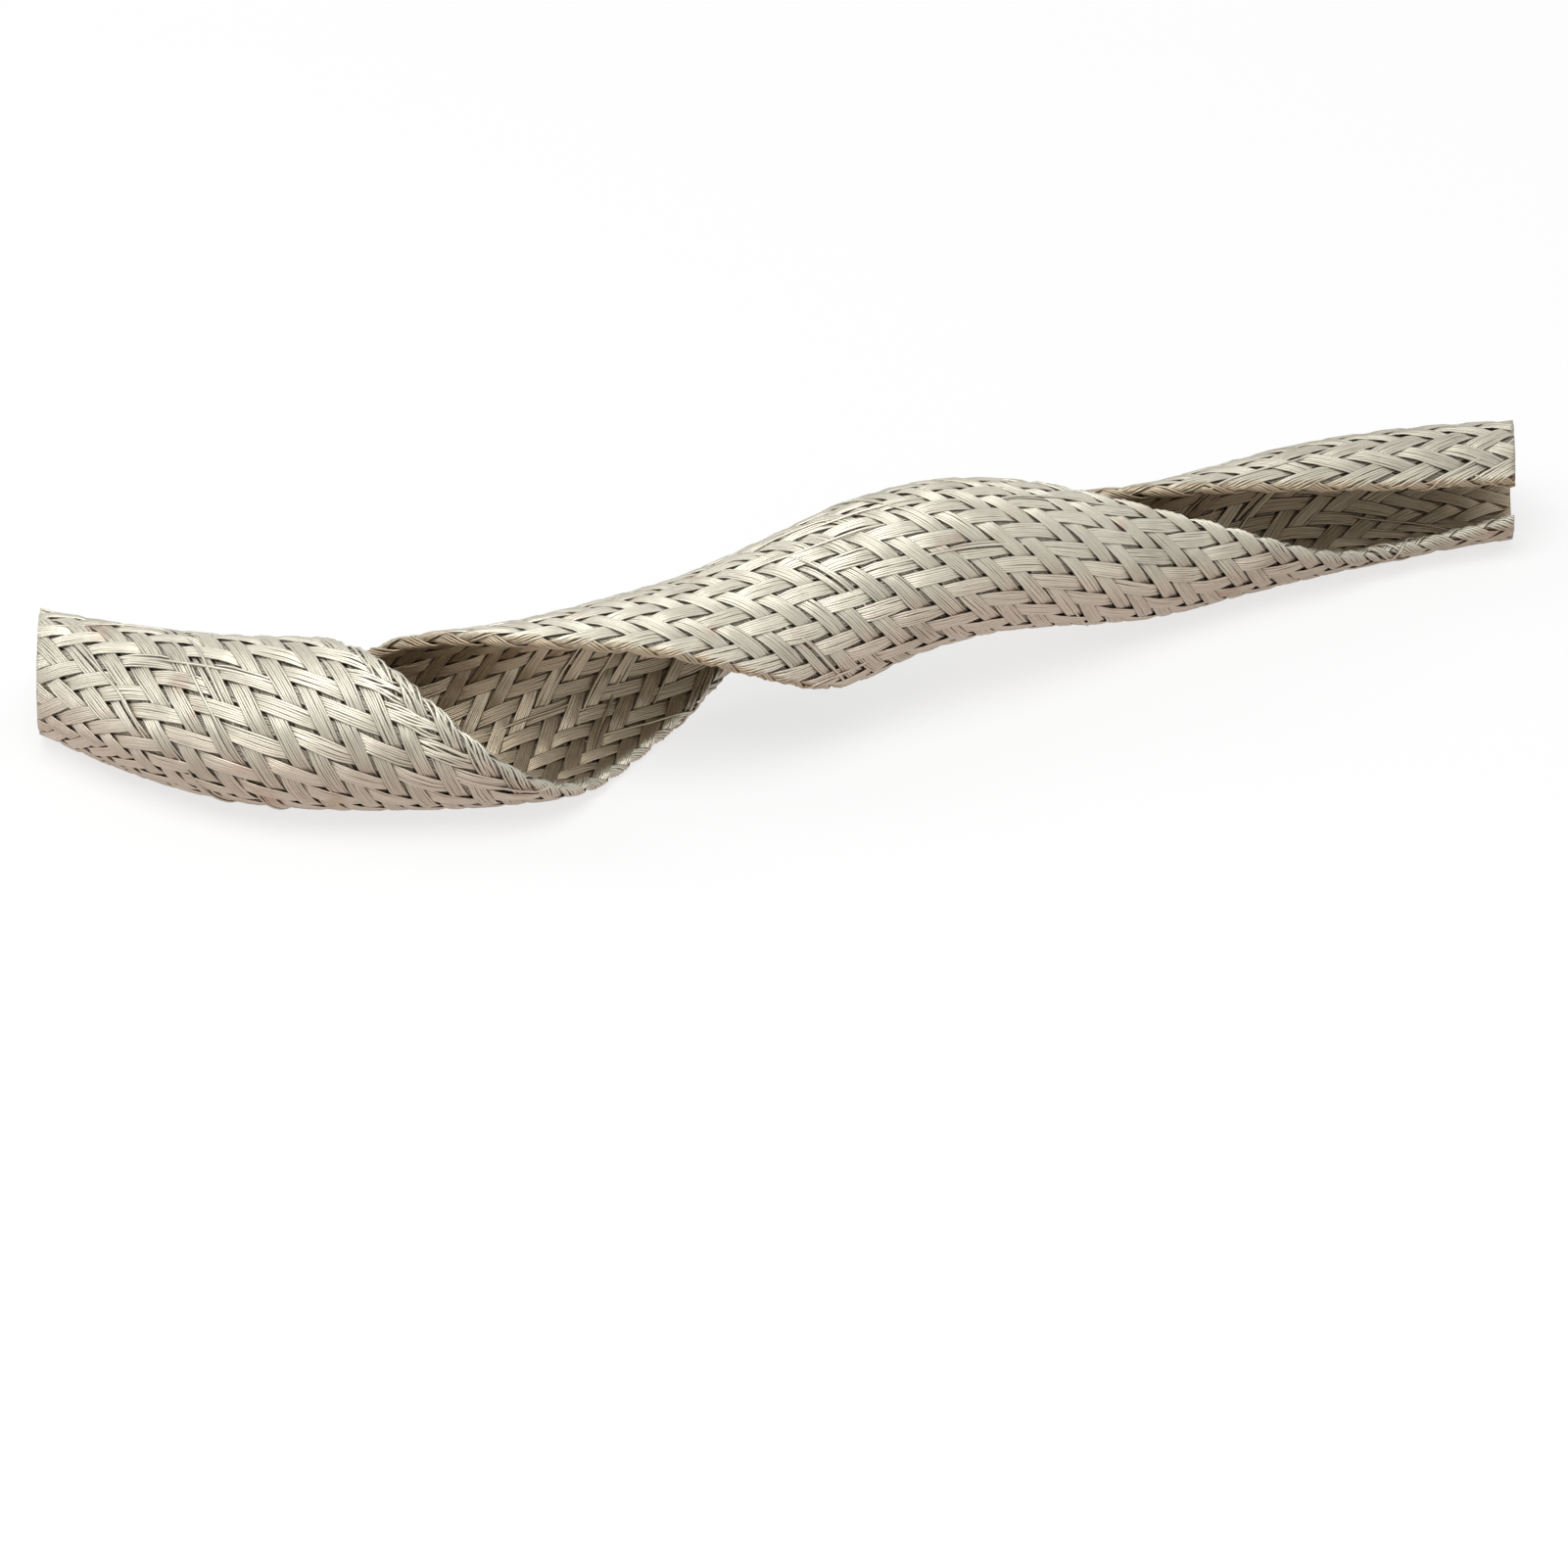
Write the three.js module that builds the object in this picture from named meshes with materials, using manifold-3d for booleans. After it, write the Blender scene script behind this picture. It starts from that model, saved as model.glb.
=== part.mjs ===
// Flexible busbar braid: a flat tinned copper braid, twisted and curled into an open trough.
// The strip is one braided sleeve pressed flat. Its wall carries the twill weave as raised
// floats, a narrow slit is left between the two pressed layers, and both ends are cut square.
// Millimetres, +Z up. The strip lies along X on the plane Z = 0.

import * as THREE from 'three';
import { mergeVertices } from 'three/addons/utils/BufferGeometryUtils.js';
import Module from 'manifold-3d';

const wasm = await Module();
wasm.setup();

// Driving sizes of the strip
const cutLength = 125;          // between the two cut ends, along X
const sleeveRound = 50;         // once around the sleeve, at the middle of its wall
const carriers = 64;            // bundles of wire in the braid, half of them each way
const cellLength = 3.7;         // one step of the weave along the strip
const layerGap = 0.75;          // between the middles of the two pressed layers
const slitGap = 0.2;            // clear space between the two layers
const valleyHeight = 0;         // wall middle to the dips between the floats
const floatHeight = 0.34;       // wall middle to the top of a float
const gapWidth = 0.6;           // one of the small open gaps in the weave
const gapRows = 6;              // rows of open gaps around the sleeve
const gapsInRow = 7;            // open gaps in each of those rows

// How the strip lies: stations along X that pull a smooth curve, read off by eye
const stationStep = 11;
const firstStation = -66;
const sideways = [-10.5, -19.5, -25, -25, -24.5, -20, -12.5, -8, -2.5, 4, 9, 13, 16];
const curlRadius = [3.8, 5.4, 6.6, 6.6, 7, 7.2, 6.8, 6.4, 5.8, 4.8, 5.2, 4.8, 4.2];
const openingTurn = [235, 255, 210, 100, 15, -20, -70, -140, -185, -285, -350, -360, -345];
const leanSpan = 12;            // half the length over which the lean of the strip is averaged
const archRise = 4.4;           // the strip bridges over a short stretch
const archMiddle = 13;
const archHalfLength = 21;

// Fineness of the mesh
const routeStep = 0.5;
const routeOverrun = 20;
const endOverrun = 3;
const slitStepLong = 4.6;
const slitStepsRound = 20;
const gapSides = 3;

// The weave closes around the sleeve only in whole repeats of four bundles
const bundlesInRepeat = 4;
const weaveRepeats = Math.round(carriers / bundlesInRepeat);
const stepsRound = weaveRepeats * bundlesInRepeat;
const cellWidth = 2 * sleeveRound / stepsRound;
const foldRadius = layerGap / 2;
const flatWidth = (sleeveRound - 2 * Math.PI * foldRadius) / 2;
const halfThickness = foldRadius + floatHeight;

// A uniform cubic curve pulled by a list of station values
function pull(values, x) {
  const place = (x - firstStation) / stationStep;
  const from = Math.floor(place);
  const t = place - from;
  const at = (k) => values[Math.min(Math.max(from + k, 0), values.length - 1)];
  return (at(-1) * (1 - t) ** 3
    + at(0) * (3 * t ** 3 - 6 * t ** 2 + 4)
    + at(1) * (-3 * t ** 3 + 3 * t ** 2 + 3 * t + 1)
    + at(2) * t ** 3) / 6;
}

function arch(x) {
  const place = Math.min(Math.max((x - archMiddle) / archHalfLength, -1), 1);
  return archRise * Math.cos(place * Math.PI / 2) ** 2;
}

// Read a rising table: the value of `to` where `from` equals x
function lookUp(from, to, x) {
  let low = 0;
  let high = from.length - 1;
  while (high - low > 1) {
    const middle = (low + high) >> 1;
    if (from[middle] > x) high = middle;
    else low = middle;
  }
  const share = (x - from[low]) / (from[high] - from[low]);
  return to[low] + (to[high] - to[low]) * share;
}

// The route: distance along the curled tube and along the strip's middle line, for each X
function makeRoute() {
  const route = { x: [], along: [], strip: [], turn: [], lean: [] };
  const reach = cutLength / 2 + routeOverrun;
  let along = 0;
  let strip = 0;
  for (let x = -reach; x <= reach; x += routeStep) {
    if (x > -reach) {
      const before = x - routeStep;
      const step = Math.hypot(routeStep, pull(sideways, x) - pull(sideways, before));
      const turned = THREE.MathUtils.degToRad(pull(openingTurn, x) - pull(openingTurn, before));
      along += step;
      strip += Math.hypot(step, turned * pull(curlRadius, x));
    }
    route.x.push(x);
    route.along.push(along);
    route.strip.push(strip);
    route.turn.push(THREE.MathUtils.degToRad(pull(openingTurn, x)));
  }
  for (const [i, x] of route.x.entries()) {
    const ahead = lookUp(route.along, route.turn, route.along[i] + leanSpan);
    const behind = lookUp(route.along, route.turn, route.along[i] - leanSpan);
    route.lean.push(Math.atan(pull(curlRadius, x) * (ahead - behind) / (2 * leanSpan)));
  }
  const middle = lookUp(route.x, route.strip, 0);
  route.strip = route.strip.map((s) => s - middle);
  return route;
}

const route = makeRoute();

// A point of the strip: s along it, c across it, h out from its middle surface
function stripPoint(s, c, h) {
  const lean = lookUp(route.strip, route.lean, s);
  const turn = lookUp(route.strip, route.turn, s);
  const radiusHere = pull(curlRadius, lookUp(route.strip, route.x, s));
  const along = lookUp(route.strip, route.along, s) - c * Math.sin(lean);
  const x = lookUp(route.along, route.x, along);
  const angle = turn + Math.PI + c * Math.cos(lean) / radiusHere;
  const heading = Math.atan2(pull(sideways, x + routeStep) - pull(sideways, x - routeStep), 2 * routeStep);
  const radius = pull(curlRadius, x);
  const out = (radius + h) * Math.cos(angle);
  return new THREE.Vector3(
    x + out * Math.sin(heading),
    pull(sideways, x) - out * Math.cos(heading),
    radius + halfThickness + arch(x) + (radius + h) * Math.sin(angle),
  );
}

// A point of the pressed sleeve: s along it, t once around it, h out from the wall's middle
function sleevePoint(s, t, h) {
  const fold = Math.PI * foldRadius;
  const round = ((t % sleeveRound) + sleeveRound) % sleeveRound;
  const side = round < flatWidth + fold ? 1 : -1;
  const run = side > 0 ? round : round - flatWidth - fold;
  if (run < flatWidth) {
    return stripPoint(s, side * (run - flatWidth / 2), side * (foldRadius + h));
  }
  const bend = (run - flatWidth) / foldRadius;
  const reach = foldRadius + h;
  return stripPoint(s, side * (flatWidth / 2 + reach * Math.sin(bend)), side * reach * Math.cos(bend));
}

// A mesh that is gathered point by point and triangle by triangle
class Skin {
  constructor() {
    this.points = [];
    this.faces = [];
    this.names = new Map();
  }

  point(name, make) {
    if (!this.names.has(name)) {
      this.names.set(name, this.points.length);
      this.points.push(make());
    }
    return this.names.get(name);
  }

  // Edges that only one triangle uses, followed into closed loops
  loops() {
    const next = new Map();
    const used = new Set();
    for (const [a, b, c] of this.faces) {
      for (const [from, to] of [[a, b], [b, c], [c, a]]) used.add(`${from},${to}`);
    }
    for (const edge of used) {
      const [from, to] = edge.split(',').map(Number);
      if (!used.has(`${to},${from}`)) next.set(from, to);
    }
    const found = [];
    while (next.size > 0) {
      const loop = [];
      let at = next.keys().next().value;
      while (next.has(at)) {
        loop.push(at);
        const to = next.get(at);
        next.delete(at);
        at = to;
      }
      found.push(loop);
    }
    return found;
  }
}

// The weave: every float is a low hipped pad over its two crossings. Lattice point (m, k)
// is m steps along one family of bundles and k steps along the other.
function addWeave(skin, stripStart, stripEnd) {
  const spot = (m, k, h) => skin.point(`${m + k},${(((m - k) % stepsRound) + stepsRound) % stepsRound}`, () => (
    { s: (m + k) * cellLength / 2, t: (m - k) * cellWidth / 2, h }
  ));
  const low = (m, k) => spot(m, k, valleyHeight);
  const addFloat = (rim, top) => {
    rim.forEach((corner, i) => skin.faces.push([corner, rim[(i + 1) % rim.length], top]));
  };
  const firstCell = Math.ceil(stripStart / cellLength);
  const lastCell = Math.floor(stripEnd / cellLength);
  for (let cell = firstCell; cell <= lastCell; cell += 1) {
    for (let row = 0; row < weaveRepeats; row += 1) {
      const m = cell + 2 * row;
      const k = cell - 2 * row;
      addFloat(
        [low(m, k), low(m + 1, k), low(m + 2, k), low(m + 2, k + 1), low(m + 1, k + 1), low(m, k + 1)].reverse(),
        spot(m + 1, k + 0.5, floatHeight),
      );
      addFloat(
        [low(m, k - 3), low(m + 1, k - 3), low(m + 1, k - 2), low(m + 1, k - 1), low(m, k - 1), low(m, k - 2)].reverse(),
        spot(m + 0.5, k - 2, floatHeight),
      );
    }
  }
}

// The slit between the two layers, a plain skin that faces inward
function addSlit(skin, stripStart, stripEnd) {
  const steps = Math.round((stripEnd - stripStart) / slitStepLong);
  const depth = slitGap / 2 - foldRadius;
  const spot = (i, j) => skin.point(`slit ${i},${j % slitStepsRound}`, () => (
    { s: stripStart + (stripEnd - stripStart) * i / steps, t: sleeveRound * j / slitStepsRound, h: depth }
  ));
  for (let i = 0; i < steps; i += 1) {
    for (let j = 0; j < slitStepsRound; j += 1) {
      skin.faces.push([spot(i, j), spot(i, j + 1), spot(i + 1, j + 1)]);
      skin.faces.push([spot(i, j), spot(i + 1, j + 1), spot(i + 1, j)]);
    }
  }
}

// Close the ring between two loops that run opposite ways around the sleeve
function zip(skin, outer, inner) {
  const round = (i) => ((skin.points[i].t / sleeveRound) % 1 + 1) % 1;
  const fromStart = (loop) => {
    const first = loop.reduce((best, id, i) => (round(id) < round(loop[best]) ? i : best), 0);
    return [...loop.slice(first), ...loop.slice(0, first)];
  };
  const rising = (loop) => {
    const turned = fromStart(loop);
    const climbs = turned.filter((id, i) => i > 0 && round(id) > round(turned[i - 1])).length;
    return climbs > loop.length / 2 ? { loop: turned, up: true } : { loop: fromStart(turned.reverse()), up: false };
  };
  const a = rising(outer);
  const b = rising(inner);
  let i = 0;
  let j = 0;
  while (i < a.loop.length || j < b.loop.length) {
    const nextA = i + 1 < a.loop.length ? round(a.loop[i + 1]) : 1;
    const nextB = j + 1 < b.loop.length ? round(b.loop[j + 1]) : 1;
    const here = a.loop[i % a.loop.length];
    const there = b.loop[j % b.loop.length];
    const stepA = j >= b.loop.length || (i < a.loop.length && nextA <= nextB);
    const onward = stepA ? a.loop[(i + 1) % a.loop.length] : b.loop[(j + 1) % b.loop.length];
    skin.faces.push(a.up ? [here, there, onward] : [onward, there, here]);
    if (stepA) i += 1;
    else j += 1;
  }
}

// The whole wall, longer than the cut strip at both ends
function wallSkin() {
  const reach = cutLength / 2 + endOverrun;
  const stripStart = lookUp(route.x, route.strip, -reach) - endOverrun;
  const stripEnd = lookUp(route.x, route.strip, reach) + endOverrun;
  const skin = new Skin();
  addWeave(skin, stripStart, stripEnd);
  const outerLoops = skin.loops();
  const slit = new Skin();
  addSlit(slit, stripStart, stripEnd);
  const shift = skin.points.length;
  const innerLoops = slit.loops().map((loop) => loop.map((i) => i + shift));
  skin.points.push(...slit.points);
  skin.faces.push(...slit.faces.map((face) => face.map((i) => i + shift)));
  const endOf = (loop) => skin.points[loop[0]].s;
  outerLoops.sort((p, q) => endOf(p) - endOf(q));
  innerLoops.sort((p, q) => endOf(p) - endOf(q));
  outerLoops.forEach((loop, i) => zip(skin, loop, innerLoops[i]));
  return skin;
}

function skinGeometry(skin) {
  const geometry = new THREE.BufferGeometry();
  const places = skin.points.flatMap(({ s, t, h }) => sleevePoint(s, t, h).toArray());
  geometry.setAttribute('position', new THREE.Float32BufferAttribute(places, 3));
  geometry.setIndex(skin.faces.flat());
  return geometry;
}

function toSolid(geometry) {
  const bare = geometry.clone();
  bare.deleteAttribute('normal');
  bare.deleteAttribute('uv');
  const merged = mergeVertices(bare, 1e-4);
  return new wasm.Manifold(new wasm.Mesh({
    numProp: 3,
    vertProperties: Float32Array.from(merged.attributes.position.array),
    triVerts: Uint32Array.from(merged.index.array),
  }));
}

function toGeometry(solid) {
  const mesh = solid.getMesh();
  const geometry = new THREE.BufferGeometry();
  geometry.setAttribute('position', new THREE.BufferAttribute(mesh.vertProperties, 3));
  geometry.setIndex(new THREE.BufferAttribute(mesh.triVerts, 1));
  return geometry;
}

// One open gap: a small three-sided hole from the outside into the slit, where bundles cross
function gapGeometry(s, t) {
  const outside = sleevePoint(s, t, floatHeight);
  const inside = sleevePoint(s, t, -foldRadius);
  const towards = outside.clone().sub(inside);
  const pin = new THREE.CylinderGeometry(gapWidth / 2, gapWidth / 2, 2 * towards.length(), gapSides);
  pin.applyQuaternion(new THREE.Quaternion().setFromUnitVectors(new THREE.Vector3(0, 1, 0), towards.normalize()));
  pin.translate(...outside.toArray());
  return pin;
}

function makeBraid() {
  const wall = toSolid(skinGeometry(wallSkin()));
  const room = new THREE.BoxGeometry(cutLength, 4 * sleeveRound, 4 * sleeveRound);
  let braid = wall.intersect(toSolid(room));
  const rowStep = Math.round(weaveRepeats / gapRows) * bundlesInRepeat * cellWidth / 2;
  const columnStep = Math.round(cutLength / gapsInRow / cellLength) * cellLength;
  for (let row = 0; row < gapRows; row += 1) {
    for (let column = 0; column < gapsInRow; column += 1) {
      const s = (column - (gapsInRow - 1) / 2 - 0.5 + (row % 2) / 2) * columnStep;
      const m = Math.round(s / cellLength);
      braid = braid.subtract(toSolid(gapGeometry(m * cellLength, row * rowStep)));
    }
  }
  return toGeometry(braid);
}

const tinnedCopper = new THREE.MeshStandardMaterial({ color: 0xbab6a6, roughness: 0.38, metalness: 0.85 });
const braid = new THREE.Mesh(makeBraid(), tinnedCopper);
braid.name = 'braid';

// The origin is under the middle of the strip's box
const box = new THREE.Box3().setFromBufferAttribute(braid.geometry.attributes.position);
const centre = box.getCenter(new THREE.Vector3());
braid.position.set(-centre.x, -centre.y, -box.min.z);

const busbarBraid = new THREE.Group();
busbarBraid.add(braid);

export default busbarBraid;
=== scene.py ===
import math
import bpy
import numpy as np
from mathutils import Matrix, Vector


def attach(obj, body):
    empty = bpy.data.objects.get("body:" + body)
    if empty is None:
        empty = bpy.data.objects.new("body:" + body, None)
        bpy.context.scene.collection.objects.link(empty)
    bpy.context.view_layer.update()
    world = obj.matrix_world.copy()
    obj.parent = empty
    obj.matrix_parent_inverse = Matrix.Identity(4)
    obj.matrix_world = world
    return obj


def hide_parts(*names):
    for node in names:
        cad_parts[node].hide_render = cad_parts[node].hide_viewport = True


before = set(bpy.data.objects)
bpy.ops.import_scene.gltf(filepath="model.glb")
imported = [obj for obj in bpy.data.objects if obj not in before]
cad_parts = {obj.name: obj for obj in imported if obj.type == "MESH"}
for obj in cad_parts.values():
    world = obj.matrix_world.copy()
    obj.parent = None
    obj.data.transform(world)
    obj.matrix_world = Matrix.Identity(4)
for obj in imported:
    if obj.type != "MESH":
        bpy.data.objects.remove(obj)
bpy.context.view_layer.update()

# Bundles that climb across the strip
# Half of the braid's bundles: seven tinned copper wires side by side, wound one way round a
# sleeve and woven two over, two under. The sleeve is pressed flat and the strip then twisted.

MILLIMETRE = 0.001
CUT_LENGTH = 125.0
SLEEVE_ROUND = 50.0
HALF_ROUND = SLEEVE_ROUND / 2
BUNDLES_EACH_WAY = 32
CELL_LENGTH = 3.7
CELL_WIDTH = SLEEVE_ROUND / BUNDLES_EACH_WAY
LAYER_GAP = 0.75
FOLD_RADIUS = LAYER_GAP / 2
FLAT_WIDTH = HALF_ROUND - math.pi * FOLD_RADIUS
LIE_HEIGHT = 0.715
SIDE_SHIFT = 6.203

STATION_STEP = 11.0
FIRST_STATION = -66.0
SIDEWAYS = [-10.5, -19.5, -25, -25, -24.5, -20, -12.5, -8, -2.5, 4, 9, 13, 16]
CURL_RADIUS = [3.8, 5.4, 6.6, 6.6, 7, 7.2, 6.8, 6.4, 5.8, 4.8, 5.2, 4.8, 4.2]
OPENING_TURN = [235, 255, 210, 100, 15, -20, -70, -140, -185, -285, -350, -360, -345]
LEAN_SPAN = 12.0
ARCH_RISE = 4.4
ARCH_MIDDLE = 13.0
ARCH_HALF_LENGTH = 21.0
ROUTE_STEP = 0.5
ROUTE_REACH = 82.5

BUNDLES_IN_REPEAT = 4
WIRES_IN_BUNDLE = 7
RING_POINTS = 4
WIRE_PITCH = 0.168
WIRE_HALF_WIDTH = 0.135
WIRE_HALF_HEIGHT = 0.1
STEPS_PER_CROSSING = 3
CROSSINGS_EACH_SIDE = 46
WEAVE_HEIGHT = 0.16
BUNDLE_CROWN = 0.06
TURNOVER = 0.55
END_MARGIN = 0.05
END_CLEARANCE = 0.01
CLIMB_START = 0.5
FALL_START = 1.5

# How unevenly the wires lie. Sways are in millimetres, the squeeze, the spread and the tone
# are shares, and waves are in radians for each crossing of another bundle.
OWN_SWAYS = 4
SHARED_SWAYS = 2
WAVES_IN_SWAY = 3
OWN_SWAY = 0.05
OWN_WAVES = (0.7, 1.3, 2.3)
SHARED_SWAY = 0.08
SHARED_WAVES = (0.6, 1.1, 1.9)
HEIGHT_SWAY = 0.03
HEIGHT_WAVES = (1.1, 1.9, 3.1)
SQUEEZE = 0.07
SQUEEZE_WAVES = (0.9, 1.7, 2.9)
OVER_SPREAD = 0.04
TONE_WAVES = (0.4, 0.9, 1.6)
BUNDLE_TONE = 0.6
FRAY_WAVES = (1.3, 2.1, 3.4)

# A few wires have sprung out of their bundles, and the lip of the first turn is frayed
SPRUNG_SHARE = 0.16
SPRUNG_LIFT = 0.38
SPRUNG_DRIFT = 0.45
SPRUNG_LENGTH = 2.5
FRAYED_AT = (-50.0, 24.2)
FRAYED_OVER = (7.0, 2.6)
FRAY_SPREAD = 0.3
FRAY_LIFT = 0.2

# The right end is browner with age, from a place on the strip and over a length of it
AGED_FROM = 25.0
AGED_OVER = 35.0

CLIMB_SEED = 11


def pull(values, x):
    """A uniform cubic curve that a list of station values pulls."""
    place = (np.asarray(x, float) - FIRST_STATION) / STATION_STEP
    start = np.floor(place).astype(int)
    t = place - start
    held = np.asarray(values, float)
    a, b, c, d = (held[np.clip(start + k, 0, len(held) - 1)] for k in (-1, 0, 1, 2))
    mix = a * (1 - t) ** 3 + b * (3 * t**3 - 6 * t**2 + 4)
    return (mix + c * (-3 * t**3 + 3 * t**2 + 3 * t + 1) + d * t**3) / 6


def lay_route():
    """Lengths along the curled tube and along the strip's middle line, for each X."""
    x = np.arange(-ROUTE_REACH, ROUTE_REACH + ROUTE_STEP / 2, ROUTE_STEP)
    turn = np.radians(pull(OPENING_TURN, x))
    radius = pull(CURL_RADIUS, x)
    step = np.hypot(np.diff(x), np.diff(pull(SIDEWAYS, x)))
    strip_step = np.hypot(step, np.diff(turn) * radius[1:])
    along = np.concatenate([[0], np.cumsum(step)])
    strip = np.concatenate([[0], np.cumsum(strip_step)])
    ahead = np.interp(along + LEAN_SPAN, along, turn)
    behind = np.interp(along - LEAN_SPAN, along, turn)
    lean = np.arctan(radius * (ahead - behind) / (2 * LEAN_SPAN))
    return x, along, strip - np.interp(0, x, strip), turn, lean


ROUTE_X, ROUTE_ALONG, ROUTE_STRIP, ROUTE_TURN, ROUTE_LEAN = lay_route()


def strip_point(s, c, h):
    """A point of the strip: s along it, c across it, h out from its middle surface."""
    lean = np.interp(s, ROUTE_STRIP, ROUTE_LEAN)
    turn = np.interp(s, ROUTE_STRIP, ROUTE_TURN)
    radius_here = pull(CURL_RADIUS, np.interp(s, ROUTE_STRIP, ROUTE_X))
    along = np.interp(s, ROUTE_STRIP, ROUTE_ALONG) - c * np.sin(lean)
    x = np.interp(along, ROUTE_ALONG, ROUTE_X)
    angle = turn + math.pi + c * np.cos(lean) / radius_here
    side_step = pull(SIDEWAYS, x + ROUTE_STEP) - pull(SIDEWAYS, x - ROUTE_STEP)
    heading = np.arctan2(side_step, 2 * ROUTE_STEP)
    radius = pull(CURL_RADIUS, x)
    bridge = np.clip((x - ARCH_MIDDLE) / ARCH_HALF_LENGTH, -1, 1)
    lift = LIE_HEIGHT + ARCH_RISE * np.cos(bridge * math.pi / 2) ** 2
    out = (radius + h) * np.cos(angle)
    y = pull(SIDEWAYS, x) + SIDE_SHIFT - out * np.cos(heading)
    z = radius + lift + (radius + h) * np.sin(angle)
    return np.stack([x + out * np.sin(heading), y, z], -1)


def sleeve_point(s, t, h):
    """A point of the pressed sleeve: s along it, t round it, h out from its wall's middle."""
    t = np.mod(t, SLEEVE_ROUND)
    side = np.where(t < HALF_ROUND, 1.0, -1.0)
    run = np.where(t < HALF_ROUND, t, t - HALF_ROUND)
    bend = np.clip((run - FLAT_WIDTH) / FOLD_RADIUS, 0, math.pi)
    reach = FOLD_RADIUS + h
    flat = np.minimum(run, FLAT_WIDTH) - FLAT_WIDTH / 2
    across = side * (flat + reach * np.sin(bend))
    return strip_point(s, across, side * reach * np.cos(bend))


def ease(t):
    """A smooth step from 0 to 1."""
    t = np.clip(t, 0, 1)
    return t * t * (3 - 2 * t)


def over_under(place):
    """1 while a bundle lies over two others, and -1 while it runs under the next two."""
    half_repeat = BUNDLES_IN_REPEAT / 2
    from_middle = np.abs(np.mod(place + half_repeat / 2, BUNDLES_IN_REPEAT) - half_repeat)
    return 1 - 2 * ease((from_middle - 1 + TURNOVER) / (2 * TURNOVER))


def wander(place, phases, waves):
    """A slow random sway along a wire, from a few sine waves."""
    return sum(np.sin(place * wave + phase) for wave, phase in zip(waves, phases)) / len(waves)


def frayed_share(s, t):
    """1 in the middle of the frayed patch on the strip's left lip, falling to 0 around it."""
    beside = np.mod(t - FRAYED_AT[1] + HALF_ROUND, SLEEVE_ROUND) - HALF_ROUND
    return np.exp(-((s - FRAYED_AT[0]) / FRAYED_OVER[0]) ** 2 - (beside / FRAYED_OVER[1]) ** 2)


def loose_share(crossings, draws):
    """For each wire, 1 where it has sprung out of its bundle, falling to 0 around that."""
    sprung = draws.uniform(0, 1, (WIRES_IN_BUNDLE, 1)) < SPRUNG_SHARE
    sprung_at = draws.uniform(-CROSSINGS_EACH_SIDE, CROSSINGS_EACH_SIDE, (WIRES_IN_BUNDLE, 1))
    return sprung * np.exp(-((crossings - sprung_at) / SPRUNG_LENGTH) ** 2)


def bundle_paths(number, way, draws):
    """Each wire of a bundle: its place on the sleeve, its height, and marks for its looks."""
    steps = np.arange(-CROSSINGS_EACH_SIDE, CROSSINGS_EACH_SIDE, 1 / STEPS_PER_CROSSING)
    crossings = np.tile(steps, (WIRES_IN_BUNDLE, 1))
    spread = (np.arange(WIRES_IN_BUNDLE) - (WIRES_IN_BUNDLE - 1) / 2)[:, None]
    own_shape = (OWN_SWAYS, WAVES_IN_SWAY, WIRES_IN_BUNDLE, 1)
    own_aside, own_height, own_tone, own_fray = draws.uniform(0, 2 * math.pi, own_shape)
    shared_shape = (SHARED_SWAYS, WAVES_IN_SWAY)
    shared_squeeze, shared_aside = draws.uniform(0, 2 * math.pi, shared_shape)
    over = over_under(crossings - 2 * number - (CLIMB_START if way > 0 else FALL_START))
    middle_s = crossings * CELL_LENGTH / 2
    middle_t = way * (crossings - 2 * number - 1) * CELL_WIDTH / 2
    frayed = frayed_share(middle_s, middle_t) * wander(crossings, own_fray, FRAY_WAVES)
    loose = loose_share(crossings, draws)

    squeeze = 1 + SQUEEZE * wander(crossings, shared_squeeze, SQUEEZE_WAVES)
    squeeze += OVER_SPREAD * over
    aside = spread * WIRE_PITCH * squeeze
    aside += OWN_SWAY * wander(crossings, own_aside, OWN_WAVES)
    aside += SHARED_SWAY * wander(crossings, shared_aside, SHARED_WAVES) + FRAY_SPREAD * frayed
    aside += SPRUNG_DRIFT * loose * draws.uniform(-1, 1, (WIRES_IN_BUNDLE, 1))
    crown = BUNDLE_CROWN * (1 - (2 * spread / WIRES_IN_BUNDLE) ** 2)
    woven = (WEAVE_HEIGHT + crown) * over
    woven += HEIGHT_SWAY * wander(crossings, own_height, HEIGHT_WAVES)
    height = woven * (1 - loose) + SPRUNG_LIFT * loose + FRAY_LIFT * np.abs(frayed)

    lay = math.atan2(CELL_WIDTH, CELL_LENGTH)
    s = middle_s - way * aside * math.sin(lay)
    t = middle_t + aside * math.cos(lay)
    wire_tone = draws.uniform(-1, 1, (WIRES_IN_BUNDLE, 1))
    wire_tone += draws.uniform(-BUNDLE_TONE, BUNDLE_TONE)
    wire_mark = draws.uniform(0, SLEEVE_ROUND, (WIRES_IN_BUNDLE, 1))
    marks = {
        "tone": wire_tone + wander(crossings, own_tone, TONE_WAVES),
        # Where a wire runs under the crossing bundles; the material paints shade in brown in the
        # deepest of these dips.
        "recess": (1 - over) * (1 - loose) / 2,
        # The inner layer of the sleeve, inside the curl, where the material paints shade in brown.
        "inner_layer": (np.mod(t, SLEEVE_ROUND) > HALF_ROUND).astype(float),
        "aged": ease((s - AGED_FROM) / AGED_OVER),
        "along": s,
        "wire": np.tile(wire_mark, steps.size),
    }
    return s, t, height, marks


def unit(vectors):
    """The same directions at length 1."""
    return vectors / np.linalg.norm(vectors, axis=-1, keepdims=True)


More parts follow.
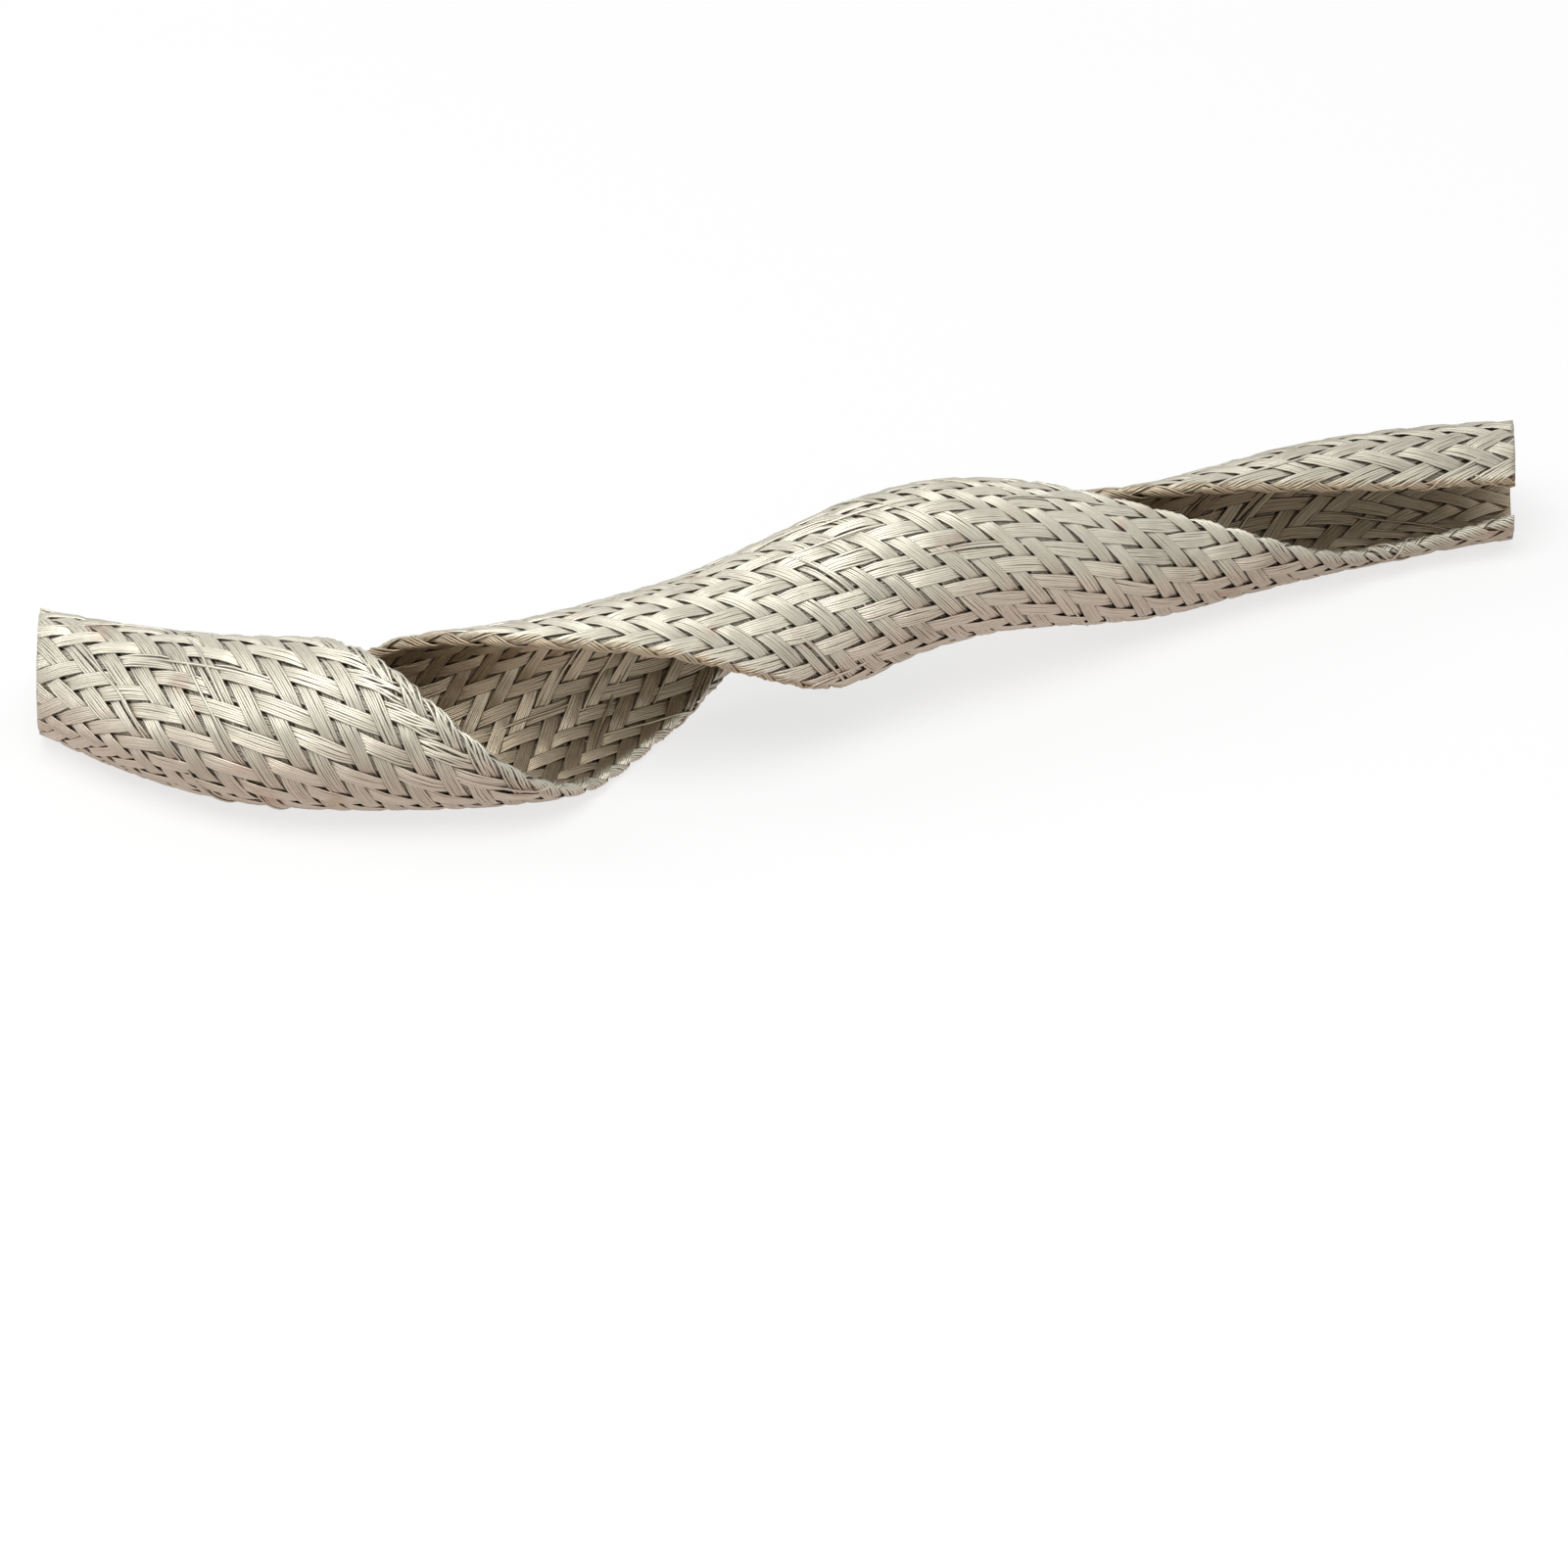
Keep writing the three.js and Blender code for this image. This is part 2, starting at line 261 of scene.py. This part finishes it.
def wire_rings(s, t, height):
    """Four points round each step of each wire: top, one side, bottom, other side."""
    middle = sleeve_point(s, t, height)
    out = sleeve_point(s, t, height + WIRE_HALF_HEIGHT) - middle
    middle[..., 2] = np.maximum(middle[..., 2], WIRE_HALF_HEIGHT)
    ahead = np.gradient(middle, axis=1)
    side = unit(np.cross(out, ahead))
    out = unit(np.cross(ahead, side))
    tall = WIRE_HALF_HEIGHT * out
    wide = WIRE_HALF_WIDTH * side
    rings = np.stack([middle + tall, middle + wide, middle - tall, middle - wide], 2)
    rings[..., 2] = np.maximum(rings[..., 2], 0)
    return middle, rings, out[..., 2]


def cut_square(middle, rings, values):
    """Keep one wire between the strip's two cut planes, with a ring on each plane."""
    half = CUT_LENGTH / 2
    inside = np.flatnonzero(np.abs(middle[:, 0]) < half - END_MARGIN)
    first, last = inside[0], inside[-1]

    def on_plane(kept, beyond, plane):
        share = (plane - middle[kept, 0]) / (middle[beyond, 0] - middle[kept, 0])
        ring = rings[kept] + share * (rings[beyond] - rings[kept])
        ring[:, 0] = plane
        return ring[None]

    body = rings[first:last + 1].copy()
    body[..., 0] = np.clip(body[..., 0], END_CLEARANCE - half, half - END_CLEARANCE)
    cut = np.concatenate([on_plane(first, first - 1, -half), body, on_plane(last, last + 1, half)])
    kept = np.concatenate([values[first:first + 1], values[first:last + 1], values[last:last + 1]])
    return cut, kept


def wire_faces(ring_count, start):
    """Quads round a tube of four-point rings, and the two cut ends."""
    first_points = np.arange(ring_count - 1)[:, None] * RING_POINTS + start
    ring = first_points + np.arange(RING_POINTS)
    beside = first_points + (np.arange(RING_POINTS) + 1) % RING_POINTS
    quads = np.stack([ring, ring + RING_POINTS, beside + RING_POINTS, beside], -1).reshape(-1, 4)
    last = start + RING_POINTS * (ring_count - 1)
    left_end = list(range(start, start + RING_POINTS))
    right_end = list(range(last, last + RING_POINTS))[::-1]
    return quads.tolist(), [left_end, right_end]


def make_bundle(name, number, way, draws):
    """One bundle as a mesh of seven closed wires, with its marks kept at every point."""
    s, t, height, marks = bundle_paths(number, way, draws)
    # The upward reach of each wire's top; the material paints shade in copper brown on the
    # undersides from it.
    middle, rings, marks["upward"] = wire_rings(s, t, height)
    points, sides, ends, kept_values = [], [], [], []
    count = 0
    for wire in range(WIRES_IN_BUNDLE):
        values = np.stack([mark[wire] for mark in marks.values()], -1)
        cut, kept = cut_square(middle[wire], rings[wire], values)
        wire_sides, wire_ends = wire_faces(len(cut), count)
        sides += wire_sides
        ends += wire_ends
        points.append(cut.reshape(-1, 3))
        kept_values.append(np.repeat(kept, RING_POINTS, axis=0))
        count += RING_POINTS * len(cut)
    mesh = bpy.data.meshes.new(name)
    mesh.from_pydata((np.concatenate(points) * MILLIMETRE).tolist(), [], sides + ends)
    mesh.polygons.foreach_set("use_smooth", [True] * len(sides) + [False] * len(ends))
    kept_values = np.concatenate(kept_values).astype(np.float32)
    for column, label in enumerate(marks):
        layer = mesh.attributes.new(label, "FLOAT", "POINT")
        layer.data.foreach_set("value", np.ascontiguousarray(kept_values[:, column]))
    bundle = bpy.data.objects.new(name, mesh)
    bpy.context.scene.collection.objects.link(bundle)
    return bundle


def attribute(nodes, label):
    """The value of a mark that the mesh keeps at every point."""
    node = nodes.new("ShaderNodeAttribute")
    node.attribute_name = label
    return node.outputs["Fac"]


def maths(nodes, kind, first, second, clamp=False):
    """A maths node over two sockets or numbers."""
    node = nodes.new("ShaderNodeMath")
    node.operation = kind
    node.use_clamp = clamp
    for socket, value in zip(node.inputs, (first, second)):
        if isinstance(value, float):
            socket.default_value = value
        else:
            nodes.id_data.links.new(value, socket)
    return node.outputs[0]


def between(nodes, value, low, high):
    """A smooth step from 0 at one value to 1 at another."""
    node = nodes.new("ShaderNodeMapRange")
    node.interpolation_type = "SMOOTHSTEP"
    node.inputs["From Min"].default_value = low
    node.inputs["From Max"].default_value = high
    nodes.id_data.links.new(value, node.inputs["Value"])
    return node.outputs["Result"]


def blend(nodes, factor, first, second):
    """A mix of two colours."""
    node = nodes.new("ShaderNodeMix")
    node.data_type = "RGBA"
    for name, socket in (("Factor", factor), ("A", first), ("B", second)):
        nodes.id_data.links.new(socket, node.inputs[name])
    return node.outputs["Result"]


def noise(nodes, vector, scale):
    """Soft noise of a given fineness."""
    node = nodes.new("ShaderNodeTexNoise")
    node.inputs["Scale"].default_value = scale
    node.inputs["Detail"].default_value = NOISE_DETAIL
    nodes.id_data.links.new(vector, node.inputs["Vector"])
    return node.outputs["Fac"]


# How fine the stains and streaks are, and how much of each there is, and of the painted shade in the
# dips and on the undersides
NOISE_DETAIL = 3.0
PATCH_FINENESS = 150.0
PATCH_RANGE = (0.5, 0.85)
PATCH_SHARE = 0.35
BLUSH_FINENESS = 230.0
BLUSH_RANGE = (0.58, 0.76)
BLUSH_SHARE = 0.7
STREAK_FINENESS = 1.1
# The dips where wires run under others get painted shade in brown.
UNDER_RUN_SHADE_RANGE = (0.6, 1.0)
UNDER_RUN_SHADE_SHARE = 0.5
AGED_SHARE = 0.25
# Surfaces that face down get painted shade in copper brown.
DOWNWARD_SHADE_RANGE = (0.75, -0.35)
DOWNWARD_SHADE_SHARE = 0.9
TONE_SHARE = 0.05
STREAK_SHARE = 0.3
TONE_BASE = 0.85
ROUGH_WITH_TARNISH = 0.15
ROUGH_WITH_STREAKS = 0.2


def make_stain_and_shade_group():
    """Tinned wire: clean metal on the high spots, real stains, age and rubbed copper in patches, and
    painted shade: brown in the dips and inside the curl, copper brown on the undersides.
    """
    group = bpy.data.node_groups.new("wire_stain_and_shade", "ShaderNodeTree")
    for name in ("Clean tin", "Copper wear and shade colour", "Stain and shade colour", "Inner shade colour"):
        group.interface.new_socket(name, in_out="INPUT", socket_type="NodeSocketColor")
    for name in ("Stain and shade amount", "Copper wear and shade amount", "Inner shade amount", "Polish"):
        group.interface.new_socket(name, in_out="INPUT", socket_type="NodeSocketFloat")
    group.interface.new_socket("Color", in_out="OUTPUT", socket_type="NodeSocketColor")
    group.interface.new_socket("Roughness", in_out="OUTPUT", socket_type="NodeSocketFloat")
    group.interface.new_socket("Height", in_out="OUTPUT", socket_type="NodeSocketFloat")
    nodes, links = group.nodes, group.links
    given = nodes.new("NodeGroupInput").outputs
    result = nodes.new("NodeGroupOutput").inputs
    place = nodes.new("ShaderNodeTexCoord").outputs["Object"]
    lengthwise = nodes.new("ShaderNodeCombineXYZ")
    links.new(attribute(nodes, "along"), lengthwise.inputs["X"])
    links.new(attribute(nodes, "wire"), lengthwise.inputs["Y"])
    streak = noise(nodes, lengthwise.outputs[0], STREAK_FINENESS)

    # Painted shade: brown where a wire runs under the crossing bundles, added to real random stains
    # and the brown of age at the right end.
    under_run_shade = maths(nodes, "MULTIPLY", between(nodes, attribute(nodes, "recess"), *UNDER_RUN_SHADE_RANGE), UNDER_RUN_SHADE_SHARE)
    patch = between(nodes, noise(nodes, place, PATCH_FINENESS), *PATCH_RANGE)
    patch = maths(nodes, "MULTIPLY", patch, PATCH_SHARE)
    aged = maths(nodes, "MULTIPLY", attribute(nodes, "aged"), AGED_SHARE)
    grime_and_shade = maths(nodes, "ADD", maths(nodes, "ADD", under_run_shade, patch), aged)
    stain_and_shade_share = maths(nodes, "MULTIPLY", grime_and_shade, given["Stain and shade amount"], clamp=True)

    # Painted shade: copper brown on surfaces that face down, added to real rubbed copper in random
    # patches.
    downward_shade = between(nodes, attribute(nodes, "upward"), *DOWNWARD_SHADE_RANGE)
    downward_shade = maths(nodes, "MULTIPLY", downward_shade, DOWNWARD_SHADE_SHARE)
    blush = between(nodes, noise(nodes, place, BLUSH_FINENESS), *BLUSH_RANGE)
    blush = maths(nodes, "MULTIPLY", blush, BLUSH_SHARE)
    copper_wear_and_shade = maths(nodes, "ADD", downward_shade, blush)
    copper_wear_and_shade = maths(nodes, "MULTIPLY", copper_wear_and_shade, given["Copper wear and shade amount"], clamp=True)
    # Painted shade: brown over the inner layer, inside the curl of the strip.
    inner_shade = maths(nodes, "MULTIPLY", attribute(nodes, "inner_layer"), given["Inner shade amount"])

    metal = blend(nodes, copper_wear_and_shade, given["Clean tin"], given["Copper wear and shade colour"])
    soiled_and_shaded = blend(nodes, stain_and_shade_share, metal, given["Stain and shade colour"])
    shaded = blend(nodes, inner_shade, soiled_and_shaded, given["Inner shade colour"])
    wire_tone = maths(nodes, "MULTIPLY", attribute(nodes, "tone"), TONE_SHARE)
    streak_tone = maths(nodes, "MULTIPLY", streak, STREAK_SHARE)
    tone = maths(nodes, "ADD", maths(nodes, "ADD", wire_tone, streak_tone), TONE_BASE)
    toned = nodes.new("ShaderNodeVectorMath")
    toned.operation = "SCALE"
    links.new(shaded, toned.inputs[0])
    links.new(tone, toned.inputs["Scale"])
    links.new(toned.outputs[0], result["Color"])

    dulled = maths(nodes, "MULTIPLY", stain_and_shade_share, ROUGH_WITH_TARNISH)
    streaky = maths(nodes, "MULTIPLY", streak, ROUGH_WITH_STREAKS)
    rough = maths(nodes, "ADD", maths(nodes, "ADD", dulled, streaky), given["Polish"])
    links.new(rough, result["Roughness"])
    links.new(streak, result["Height"])
    return group


stain_and_shade_group = make_stain_and_shade_group()
# A copper colour for real rubbed copper in random patches and for painted shade on the undersides.
COPPER_WEAR_AND_SHADE = (0.50, 0.37, 0.285)
# A brown for real tarnish in random patches and with age, and for painted shade in the dips.
STAIN_AND_SHADE_BROWN = (0.12, 0.092, 0.058)
# A brown painted as shade inside the curl.
INNER_SHADE_BROWN = (0.36, 0.265, 0.155)
COPPER_WEAR_AND_SHADE_AMOUNT = 0.75
INNER_SHADE_AMOUNT = 0.6
STREAK_DEPTH = 0.0001
STREAK_STRENGTH = 0.4
METALLIC = 0.85


def tinned_wire_material(name, clean, stain_and_shade_amount, polish):
    """Tinned copper wire with the shared stains and painted shade, and its own colour, a lighter or
    a darker copy of the tin.
    """
    material = bpy.data.materials.new(name)
    material.use_nodes = True
    nodes, links = material.node_tree.nodes, material.node_tree.links
    shader = nodes["Principled BSDF"]
    finish = nodes.new("ShaderNodeGroup")
    finish.node_tree = stain_and_shade_group
    finish.inputs["Clean tin"].default_value = (*clean, 1)
    finish.inputs["Copper wear and shade colour"].default_value = (*COPPER_WEAR_AND_SHADE, 1)
    finish.inputs["Stain and shade colour"].default_value = (*STAIN_AND_SHADE_BROWN, 1)
    finish.inputs["Inner shade colour"].default_value = (*INNER_SHADE_BROWN, 1)
    finish.inputs["Stain and shade amount"].default_value = stain_and_shade_amount
    finish.inputs["Copper wear and shade amount"].default_value = COPPER_WEAR_AND_SHADE_AMOUNT
    finish.inputs["Inner shade amount"].default_value = INNER_SHADE_AMOUNT
    finish.inputs["Polish"].default_value = polish
    bump = nodes.new("ShaderNodeBump")
    bump.inputs["Strength"].default_value = STREAK_STRENGTH
    bump.inputs["Distance"].default_value = STREAK_DEPTH
    links.new(finish.outputs["Color"], shader.inputs["Base Color"])
    links.new(finish.outputs["Roughness"], shader.inputs["Roughness"])
    links.new(finish.outputs["Height"], bump.inputs["Height"])
    links.new(bump.outputs["Normal"], shader.inputs["Normal"])
    shader.inputs["Metallic"].default_value = METALLIC
    return material


def lay_bundles(label, way, seed, material):
    """All the bundles that are wound one way, carried by the strip's body."""
    draws = np.random.default_rng(seed)
    for number in range(BUNDLES_EACH_WAY):
        bundle = make_bundle(f"{label}_bundle_{number + 1:02d}", number, way, draws)
        bundle.data.materials.append(material)
        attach(bundle, "root")
        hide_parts("braid")


# The climbing bundles get the lighter copy of the tin colour; the falling bundles get a darker copy
# as painted shade.
CLIMB_LIT_TIN = (0.69, 0.66, 0.56)
CLIMB_STAIN_AND_SHADE = 0.8
CLIMB_POLISH = 0.32
climb_lit_material = tinned_wire_material("tinned_wire_lit_climbing", CLIMB_LIT_TIN, CLIMB_STAIN_AND_SHADE, CLIMB_POLISH)
lay_bundles("climbing", 1, CLIMB_SEED, climb_lit_material)

# Bundles that fall across the strip
# The other half of the bundles, wound the opposite way round the same sleeve. They lie over
# the climbing bundles where those run under, and they are a little duller, with a darker copy of the
# tin colour painted as shade.

FALL_SEED = 23
# Painted shade: the same tin in a darker copy, for the duller light off wires that run this way.
FALL_SHADED_TIN = (0.61, 0.585, 0.495)
FALL_STAIN_AND_SHADE = 0.9
FALL_POLISH = 0.36
fall_shaded_material = tinned_wire_material("tinned_wire_shaded_falling", FALL_SHADED_TIN, FALL_STAIN_AND_SHADE, FALL_POLISH)
lay_bundles("falling", -1, FALL_SEED, fall_shaded_material)

# Floor
# A plain white sheet under the strip, which is no part of the object. The camera and the metal
# see most of it as plain white, and the rest of it takes the strip's soft shadow.

FLOOR_SIZE = 4.0
FLOOR_WHITE = (0.98, 0.98, 0.98)
FLOOR_ROUGHNESS = 0.9
SHADOW_SHARE = 0.28


def plainly_seen(nodes):
    """1 for the rays of the camera, of reflections and of clear materials, 0 for others."""
    path = nodes.new("ShaderNodeLightPath").outputs
    seen = maths(nodes, "MAXIMUM", path["Is Camera Ray"], path["Is Glossy Ray"])
    return maths(nodes, "MAXIMUM", seen, path["Is Transmission Ray"])


def white_sheet_material():
    """White with a faint soft shadow for the camera and the metal, plain white otherwise."""
    material = bpy.data.materials.new("white_sheet")
    material.use_nodes = True
    nodes, links = material.node_tree.nodes, material.node_tree.links
    shader = nodes["Principled BSDF"]
    shader.inputs["Base Color"].default_value = (*FLOOR_WHITE, 1)
    shader.inputs["Roughness"].default_value = FLOOR_ROUGHNESS
    glow = nodes.new("ShaderNodeEmission")
    seen = plainly_seen(nodes)
    share = maths(nodes, "MULTIPLY", seen, 1 - SHADOW_SHARE)
    mix = nodes.new("ShaderNodeMixShader")
    links.new(share, mix.inputs["Fac"])
    links.new(shader.outputs["BSDF"], mix.inputs[1])
    links.new(glow.outputs["Emission"], mix.inputs[2])
    links.new(mix.outputs["Shader"], nodes["Material Output"].inputs["Surface"])
    return material


bpy.ops.mesh.primitive_plane_add(size=FLOOR_SIZE, location=(0, 0, 0))
floor = bpy.context.object
floor.name = "floor"
floor.data.materials.append(white_sheet_material())

# Studio light
# One large soft lamp above and in front of the strip, a weaker one from the left, and a white
# surround. The camera and the metal see the surround at full white.

KEY_WATTS = 6.6
KEY_SIZE = 0.7
KEY_PLACE = (-0.15, -0.3, 0.95)
SIDE_WATTS = 1.2
SIDE_SIZE = 0.3
SIDE_PLACE = (-0.8, 0.15, 0.5)
SURROUND_LIGHT = 0.42


def soft_lamp(name, watts, size, place):
    """A square lamp that points at the strip."""
    data = bpy.data.lights.new(name, "AREA")
    data.energy = watts
    data.size = size
    lamp = bpy.data.objects.new(name, data)
    lamp.location = place
    lamp.rotation_euler = (-Vector(place)).to_track_quat("-Z", "Y").to_euler()
    bpy.context.scene.collection.objects.link(lamp)


def white_surround():
    """A world that is full white to the camera and the metal, and dimmer as a light."""
    world = bpy.data.worlds.new("surround")
    world.use_nodes = True
    nodes, links = world.node_tree.nodes, world.node_tree.links
    seen = plainly_seen(nodes)
    extra = maths(nodes, "MULTIPLY", seen, 1 - SURROUND_LIGHT)
    strength = maths(nodes, "ADD", extra, SURROUND_LIGHT)
    links.new(strength, nodes["Background"].inputs["Strength"])
    nodes["Background"].inputs["Color"].default_value = (1, 1, 1, 1)
    return world


soft_lamp("key_lamp", KEY_WATTS, KEY_SIZE, KEY_PLACE)
soft_lamp("side_lamp", SIDE_WATTS, SIDE_SIZE, SIDE_PLACE)
bpy.context.scene.world = white_surround()

# Camera
# A long lens well back from the strip, looking down at it, so that the strip is nearly free
# of perspective as in the picture.

PICTURE_SIDE = 1601
PIXELS_PER_MM = 12.0
SENSOR_WIDTH = 36.0
CAMERA_DISTANCE = 1200.0
CAMERA_ELEVATION = math.radians(35)
ORIGIN_PIXEL = (800.0, 640.0)
NEAREST_SEEN = 0.05
FARTHEST_SEEN = 20.0

camera_data = bpy.data.cameras.new("camera")
camera_data.sensor_width = SENSOR_WIDTH
camera_data.lens = SENSOR_WIDTH * CAMERA_DISTANCE * PIXELS_PER_MM / PICTURE_SIDE
camera_data.clip_start = NEAREST_SEEN
camera_data.clip_end = FARTHEST_SEEN
back = Vector((0, -math.cos(CAMERA_ELEVATION), math.sin(CAMERA_ELEVATION)))
up = Vector((0, math.sin(CAMERA_ELEVATION), math.cos(CAMERA_ELEVATION)))
right_of_origin = (PICTURE_SIDE / 2 - ORIGIN_PIXEL[0]) / PIXELS_PER_MM
below_origin = (PICTURE_SIDE / 2 - ORIGIN_PIXEL[1]) / PIXELS_PER_MM
aim = Vector((right_of_origin, SIDE_SHIFT, 0)) - up * below_origin
camera = bpy.data.objects.new("camera", camera_data)
camera.location = (aim + back * CAMERA_DISTANCE) * MILLIMETRE
camera.rotation_euler = (-back).to_track_quat("-Z", "Y").to_euler()
bpy.context.scene.collection.objects.link(camera)
bpy.context.scene.camera = camera
bpy.context.scene.view_settings.view_transform = "Standard"
